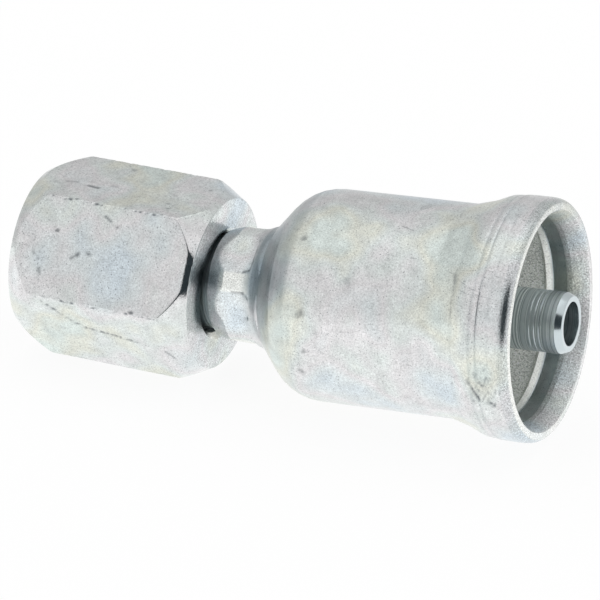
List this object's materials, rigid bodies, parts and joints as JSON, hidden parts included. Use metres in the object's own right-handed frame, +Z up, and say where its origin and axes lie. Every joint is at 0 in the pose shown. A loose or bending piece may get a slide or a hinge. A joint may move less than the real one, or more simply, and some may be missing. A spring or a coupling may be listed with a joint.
{
  "type": "crimp hose fitting",
  "caption": "Straight crimp hose end: a loose hex swivel nut with a flare seat inside, on a necked stem with a hose nipple, under a crimp shell that flares at its mouth.",
  "frame": {"origin": "centre of the swivel nut's open face", "axes": "+X along the nut's axis toward the hose mouth; +Z up, square to the nut flat that lies on the table; the stem and shell lean 4.16 degrees up toward the mouth"},
  "size_m": [0.046, 0.0194, 0.0195],
  "materials": {
    "nut_zinc": "bright zinc plating, satin, with light handling marks",
    "shell_zinc": "bright zinc plating, finely speckled",
    "stem_steel": "thin zinc plating over fine turning lines"
  },
  "bodies": {
    "hose_end": {"stem": "stem_steel", "crimp_shell": "shell_zinc"},
    "swivel_nut": {"swivel_nut": "nut_zinc"}
  },
  "joints": [
    {"name": "nut_swivel", "type": "hinge", "parent": "hose_end", "child": "swivel_nut", "pos_m": [0.01428, 0, 0], "axis": [1, 0, 0], "continuous": true}
  ]
}
